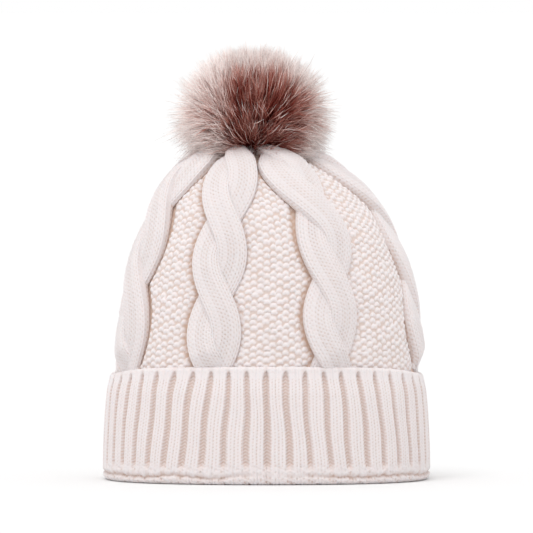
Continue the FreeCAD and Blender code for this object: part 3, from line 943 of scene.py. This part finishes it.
def node_box(node):
    """Lowest and highest corner of a node, in millimetres."""
    return [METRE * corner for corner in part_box(node)]


def turned(profile, columns, roughen):
    """Closed ring: a loop of radius and height turned about the crown's axis, its outer half uneven."""
    radius, height = np.asarray(profile, float).T
    angle = np.linspace(0, 2 * np.pi, columns + 1)[:-1][:, None]
    wobble = 1.0 + roughen * drift(angle * 10.0, radius[None, :] * 0.0, 9.0, 77)
    r = radius[None, :] * np.where(radius[None, :] > 0.5 * radius.max(), wobble, 1.0)
    points = np.stack([CROWN_X + r * np.sin(angle), -r * np.cos(angle), height + 0.0 * r], axis=-1)
    n, m = points.shape[:2]
    grid = quads(n + 1, m, True)
    return points.reshape(-1, 3), [np.where(grid >= n * m, grid - n * m, grid)]


FELT_HOLE_R = 2.1
FELT_CORNER = 0.2
low, high = node_box("snap_patch")
patch_r, bottom, top = 0.5 * (high.x - low.x), low.z, high.z
patch = [(FELT_HOLE_R, bottom + FELT_CORNER), (FELT_HOLE_R + 0.4, bottom)]
patch += [(r, bottom) for r in np.linspace(3.5, patch_r - 0.6, 8)]
patch += [(patch_r - 0.15, bottom + FELT_CORNER), (patch_r, 0.5 * (bottom + top))]
patch += [(patch_r - 0.15, top - FELT_CORNER)]
patch += [(r, top) for r in np.linspace(patch_r - 0.6, FELT_HOLE_R + 0.4, 9)]
patch += [(FELT_HOLE_R, top - FELT_CORNER)]
points, faces = turned(patch, 96, 0.012)
make_piece("crown_felt", points, faces, felt, "stud", "felt", ["snap_patch"])

# Pom ---------------------------------------------------------------------------------------------
# A disc of faux fur, gathered into a bag round loose filling and tied over the plastic disc. The long
# pile is dark at the root and pale at the tip, and lies out from the bag in small tufts.
low, high = node_box("pom_fur_backing")
BAG_R = 0.5 * (high.x - low.x)
BAG_WALL = 1.2
POM_Z = high.z - BAG_R
BAG_MOUTH = low.z

backing, _ = flecked("fur_backing_knit", 1200.0, 3.0, (0.030, 0.012, 0.010), (0.075, 0.036, 0.030),
                     0.0004, Roughness=0.9, Sheen_Weight=0.3)

latitude = np.linspace(math.asin((BAG_MOUTH + 0.3 - POM_Z) / BAG_R), 0.5 * math.pi * 0.995, 40)
outer = [((BAG_R + 0.25 * math.sin(9 * a)) * math.cos(a), POM_Z + (BAG_R - 0.1) * math.sin(a))
         for a in latitude]
inner = [((BAG_R - BAG_WALL) * math.cos(a), POM_Z + (BAG_R - BAG_WALL) * math.sin(a))
         for a in latitude[::-1]]
points, faces = turned(outer + inner, 72, 0.01)
bag = make_piece("pom_bag", points, faces, backing, "pom", "fur_backing", ["pom_fur_backing"])

fluff, _ = flecked("loose_filling", 700.0, 6.0, (0.72, 0.71, 0.69), (0.88, 0.87, 0.85), 0.001, 0.75,
                   Roughness=1.0, Sheen_Weight=0.5)
low, high = node_box("pom_filling")
ball_r = BAG_R - BAG_WALL - 0.7
a = np.linspace(math.asin((low.z + 0.4 - POM_Z) / ball_r), 0.5 * math.pi, 36)[:, None]
t = np.linspace(0, 2 * np.pi, 61)[:-1][None, :]
r = ball_r - 0.5 + 0.4 * drift(t * 12.0 + 0 * a, a * 14.0, 9.0, 55)
points = np.stack([CROWN_X + r * np.cos(a) * np.cos(t), r * np.cos(a) * np.sin(t),
                   POM_Z + r * np.sin(a)], axis=-1)
n, m = points.shape[:2]
points = np.concatenate([points[:-1].reshape(-1, 3), [points[-1].mean(axis=0), points[0].mean(axis=0)]])
ring_index, after = ring_steps(m)
crown_fan = np.stack([(n - 2) * m + ring_index, (n - 2) * m + after, np.full(m, (n - 1) * m)], axis=1)
sole_fan = np.stack([after, ring_index, np.full(m, (n - 1) * m + 1)], axis=1)
filling = make_piece("pom_stuffing", points, [quads(n - 1, m, True)[:, ::-1], crown_fan, sole_fan],
                     fluff, "pom", "fibre_filling", ["pom_filling"])

THREAD_YARN_R = 0.5
low, high = node_box("pom_gather_thread")
thread_r = 0.5 * (high.x - low.x) - THREAD_YARN_R
thread, _ = flecked("dark_thread", 4000.0, 2.0, (0.02, 0.008, 0.007), (0.05, 0.022, 0.019), Roughness=0.7)
ring = np.stack([CROWN_X + thread_r * np.cos(turn), thread_r * np.sin(turn),
                 0 * turn + 0.5 * (low.z + high.z)], axis=1)
points, faces = plied_yarn(ring, THREAD_YARN_R, True)
make_piece("pom_tie", points, faces, thread, "pom", "thread", ["pom_gather_thread"])

FUR_ROOT = (0.055, 0.004, 0.003)
FUR_DARK = (0.24, 0.040, 0.028)
FUR_MID = (0.57, 0.25, 0.20)
FUR_PALE = (0.78, 0.55, 0.50)
FUR_TIP = (0.98, 0.88, 0.85)
REACH_UP = np.array([60.0, 56.0, 45.5])
REACH_DOWN = np.array([65.0, 52.0, 62.0])
TUFTS = 620
TUFT_LEAN = 0.17  # how far one tuft's way may differ from the next
TUFT_LOWEST = -0.92  # the bag is open below this height, in its own radii
HAIR_BEND = 0.75  # share of a hair that goes its combed way; the rest leaves the root
HAIR_SIDES = 3
# Painted shade in the middle of the pom's front and back, and painted light round its outline.
DARK_MIDDLE = (10.0, 2.0)
DARK_HALF = (36.0, 38.0)
DARK_LOSS = 0.48
PATCH_SIZE = 34.0
RIM_PALE = (0.60, 0.92)
GUARD_PALE = 0.42
NECK_R = 13.0
NECK_BAND = 5.0

fur = Finish("faux_fur", Roughness=0.7, Specular_IOR_Level=0.0)
span = fur.attribute("span")
shade = fur.attribute("shade")
ramp = fur.tree.nodes.new("ShaderNodeValToRGB")
fur.put(ramp.inputs["Fac"], span)
for place, colour in ((0.34, FUR_DARK), (0.58, FUR_MID), (0.80, FUR_PALE)):
    ramp.color_ramp.elements.new(place).color = (*colour, 1.0)
ramp.color_ramp.elements[0].color = (*FUR_ROOT, 1.0)
ramp.color_ramp.elements[-1].color = (*FUR_TIP, 1.0)
fur.colour(fur.tint(Number(fur, ramp.outputs["Color"]), shade))


def spread(count, lowest):
    """Directions spread evenly over a ball from its top down to a lowest height."""
    k = np.arange(count) + 0.5
    z = 1.0 - (1.0 - lowest) * k / count
    azimuth = np.pi * (1.0 + 5.0 ** 0.5) * k
    flat = np.sqrt(np.maximum(0.0, 1.0 - z * z))
    return np.stack([flat * np.sin(azimuth), -flat * np.cos(azimuth), z], axis=1)


def brushed(normal):
    """Way the pile is combed: out, mixed with up most in front and behind, and drooping at the sides."""
    rising = unit(np.array([0.0, 0.0, 1.0]) - normal * normal[:, 2:])
    x, y, z = normal[:, :1], normal[:, 1:2], normal[:, 2:]
    share = 0.10 + 0.16 * smooth(-0.3, 0.4, z) + 0.46 * y * y
    share = share + 0.40 * smooth(-0.25, -0.9, z) * (1 - x * x)
    share = share * smooth(1.0, 0.75, z)
    way = unit(normal * (1.0 - share) + rising * share)
    way[:, 2:] -= 0.34 * x * x * smooth(0.3, -0.5, z)
    return way


def hairs(name, random, root, start, way, hair, light, tone, width, rings=4):
    """Tapered three-sided hairs: each leaves its root one way and bends round to another.

    The colour's place on the ramp is the share of the hair's length times its own lightness.
    """
    count = len(root)
    t = np.linspace(0.0, 1.0, rings + 1)[None, :, None]
    curl = random.normal(0.0, 0.06, (count, 3))[:, None, :]
    leaving = start[:, None, :] * (t - HAIR_BEND * t * t)
    line = root[:, None, :] + hair[:, None, None] * (leaving + way[:, None, :] * HAIR_BEND * t * t
                                                     + curl * t * t)
    across = unit(np.cross(way, random.normal(0.0, 1.0, (count, 3))))
    other = np.cross(way, across)
    thick = width * (1.0 - 0.9 * t[:, :-1, 0] ** 1.5) * random.uniform(0.6, 1.3, count)[:, None]
    points = []
    for corner in range(HAIR_SIDES):
        angle = 2 * np.pi * corner / HAIR_SIDES
        offset = math.cos(angle) * across + math.sin(angle) * other
        points.append(line[:, :-1, :] + thick[..., None] * offset[:, None, :])
    body = np.stack(points, axis=2).reshape(count, rings * 3, 3)
    body = np.concatenate([body, line[:, -1:, :]], axis=1) + np.array([CROWN_X, 0.0, POM_Z])
    side, after = ring_steps(HAIR_SIDES)
    lower = [np.stack([3 * k + side, 3 * k + after], axis=1) for k in range(rings - 1)]
    wall = np.concatenate([np.concatenate([pair, pair[:, ::-1] + 3], axis=1) for pair in lower])
    last = 3 * (rings - 1)
    point = np.stack([last + side, last + after, np.full(3, 3 * rings)], axis=1)
    cap = np.array([[2, 1, 0]])
    first = (np.arange(count) * (3 * rings + 1))[:, None, None]
    run = np.concatenate([np.repeat(t[0, :-1, 0], 3), [1.0]])[None, :]
    faces = [(first + wall[None]).reshape(-1, 4), (first + point[None]).reshape(-1, 3),
             (first + cap[None]).reshape(-1, 3)]
    make_piece(name, body, faces, fur, "pom", "fur_pile", ["pom_fur_pile"],
               span=np.clip(run * light[:, None], 0, 1), shade=tone[:, None] + 0.0 * run)


def fur_coat(name, count, seed, width, reach, pale, rings=4, clumping=0.5):
    """Pile over the whole bag. Tips reach an ellipsoid, less a random share, and gather by tufts.

    The tip is where the hair's way meets the ellipsoid: the larger root of a quadratic in its length.
    Painted shade keeps the middle of the front and of the back dark almost to the tips; painted light
    makes the left side the palest and the tips round the pom's outline, as seen from the front, paler.
    """
    random = np.random.default_rng(seed)
    normal = unit(spread(count, TUFT_LOWEST) + random.normal(0.0, 0.02, (count, 3)))
    root = normal * (BAG_R - 0.3)
    tufts = spread(TUFTS, TUFT_LOWEST)
    nearest = np.argmax(unit(normal + random.normal(0.0, 0.05, (count, 3))) @ tufts.T, axis=1)
    lean = random.normal(0.0, TUFT_LEAN, (TUFTS, 3))[nearest]
    way = unit(brushed(unit(0.45 * normal + 0.55 * tufts[nearest])) + lean
               + random.normal(0.0, 0.07, (count, 3)))
    way[:, 2] = np.maximum(way[:, 2], -0.80 * normal[:, 0] ** 2 - 0.02)
    ahead = (1.0 - HAIR_BEND) * normal + HAIR_BEND * way
    limits = np.where(ahead[:, 2:] > 0, REACH_UP, REACH_DOWN)
    start, per_step = root / limits, ahead / limits
    a = (per_step ** 2).sum(axis=1)
    b = (start * per_step).sum(axis=1)
    c = (start ** 2).sum(axis=1) - 1.0
    hair = (-b + np.sqrt(np.maximum(b * b - a * c, 0.0))) / a
    hair = hair * reach * random.triangular(0.68, 0.95, 1.06, count)
    hair = hair * random.uniform(0.92, 1.04, TUFTS)[nearest]
    tip = root + hair[:, None] * ahead
    gathered = np.stack([np.bincount(nearest, tip[:, k], TUFTS) for k in range(3)], axis=1)
    gathered = gathered / np.maximum(np.bincount(nearest, minlength=TUFTS), 1)[:, None]
    tip = tip + clumping * (gathered[nearest] - tip)
    way = ((tip - root) / hair[:, None] - (1.0 - HAIR_BEND) * normal) / HAIR_BEND

    patch = drift(tip[:, 0], tip[:, 2] + 40.0 * (normal[:, 1] > 0), PATCH_SIZE, 8)
    # Painted shade: hairs whose tips lie near the middle of the front and back go darker.
    away = 0.25 * patch + np.hypot((tip[:, 0] - DARK_MIDDLE[0]) / DARK_HALF[0],
                                   (tip[:, 2] - DARK_MIDDLE[1]) / DARK_HALF[1])
    dark = smooth(1.22, 0.72, away)
    # Painted light: the left side is paler.
    left = smooth(-10.0, -34.0, tip[:, 0] + 7.0 * patch)
    rim = np.hypot(tip[:, 0] / limits[:, 0], tip[:, 2] / limits[:, 2])
    light = 1.03 - DARK_LOSS * dark + 0.16 * left + 0.13 * patch
    # Painted light: tips near the outline seen from the front are paler.
    light = light + (0.28 + 0.52 * dark) * smooth(*RIM_PALE, rim)
    light = light + random.normal(0.0, 0.07, count) + random.normal(0.0, 0.11, TUFTS)[nearest]
    light = np.where(random.uniform(size=count) < pale, light + GUARD_PALE, light)
    # Painted light: hairs on the left side are also brighter in tone.
    tone = np.clip(0.94 + 0.12 * left + random.normal(0.0, 0.10, count), 0.6, 1.25)
    hairs(name, random, root, normal, way, hair, light, tone, width, rings)


def fur_neck(name, count, seed):
    """Short dark pile round the gathered mouth, turned out and down over the snap."""
    random = np.random.default_rng(seed)
    azimuth = random.uniform(0.0, 2 * np.pi, count)
    out = np.stack([np.cos(azimuth), np.sin(azimuth), 0.0 * azimuth], axis=1)
    down = np.array([0.0, 0.0, -1.0])
    root = out * random.uniform(NECK_R, NECK_R + NECK_BAND, (count, 1)) + down * (POM_Z - BAG_MOUTH)
    start = unit(out * 0.7 + down + random.normal(0.0, 0.2, (count, 3)))
    way = unit(out + down * 0.25 + random.normal(0.0, 0.25, (count, 3)))
    hair = random.uniform(7.0, 13.0, count)
    hairs(name, random, root, start, way, hair, random.uniform(0.25, 0.6, count), np.ones(count), 0.36, 3)


fur_coat("fur_guard_hair", 1100, 10, 0.58, 1.03, 0.75, 4, 0.2)
fur_coat("fur_pile_long", 8000, 11, 0.34, 1.0, 0.07)
fur_coat("fur_pile_short", 7600, 12, 0.36, 0.86, 0.05)
fur_coat("fur_undercoat", 4600, 13, 0.50, 0.60, 0.02, 3)
fur_neck("fur_neck", 1500, 14)
